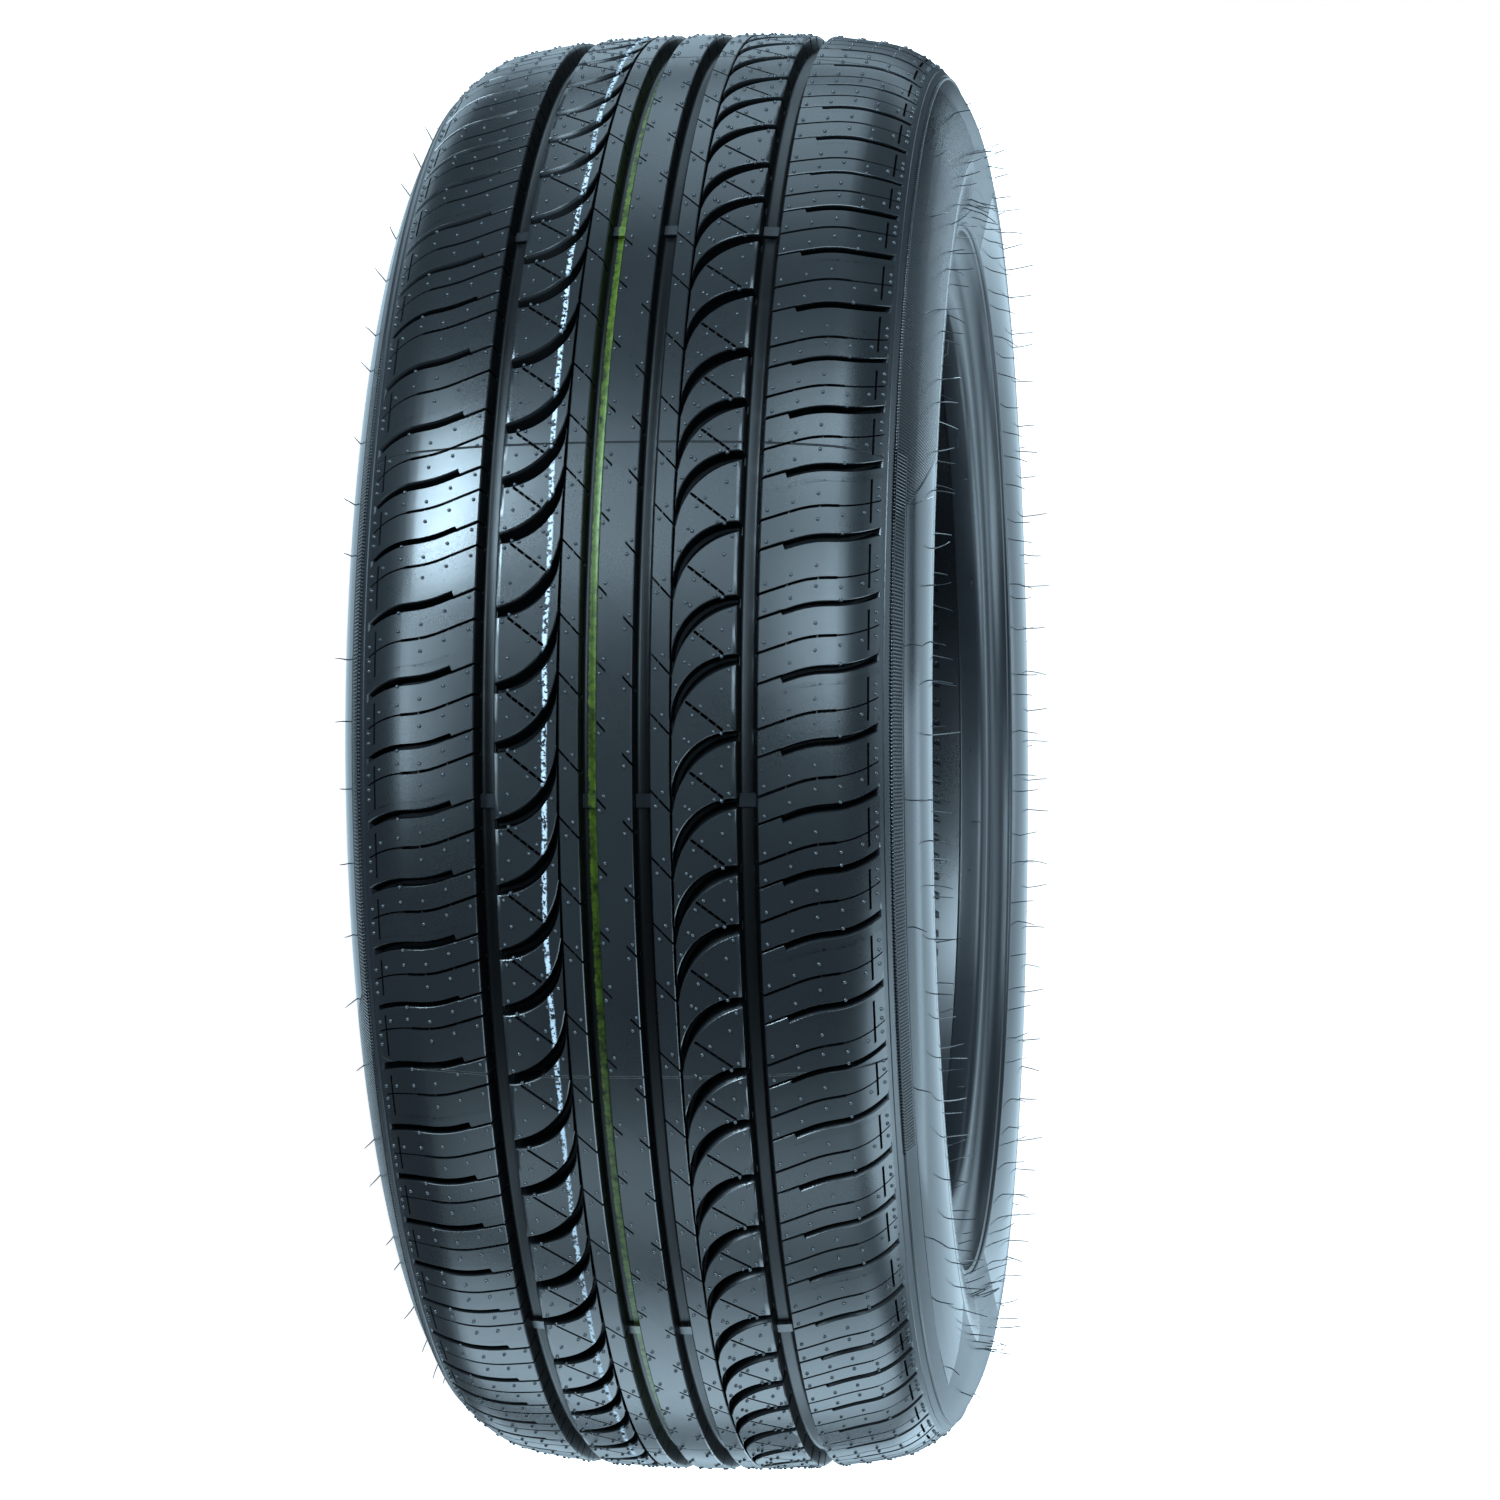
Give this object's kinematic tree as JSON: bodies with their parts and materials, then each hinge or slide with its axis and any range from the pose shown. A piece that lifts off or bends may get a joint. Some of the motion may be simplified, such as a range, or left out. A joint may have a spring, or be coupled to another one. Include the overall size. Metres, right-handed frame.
{
  "type": "car tyre",
  "caption": "Radial tyre for a family car, with main grooves round the tread, curved grooves in its inner ribs, lateral shoulder grooves and plain sidewalls, open inside between its beads.",
  "frame": {"origin": "centre of the wheel, in the tread's middle plane", "axes": "+Z along the wheel's axis, up from the sidewall that the tyre lies on; the pitches run round it"},
  "size_m": [0.6319, 0.632, 0.229],
  "materials": {
    "tyre": "moulded rubber, satin tread and sidewalls"
  },
  "bodies": {
    "root": {"tyre": "tyre"}
  },
  "joints": []
}
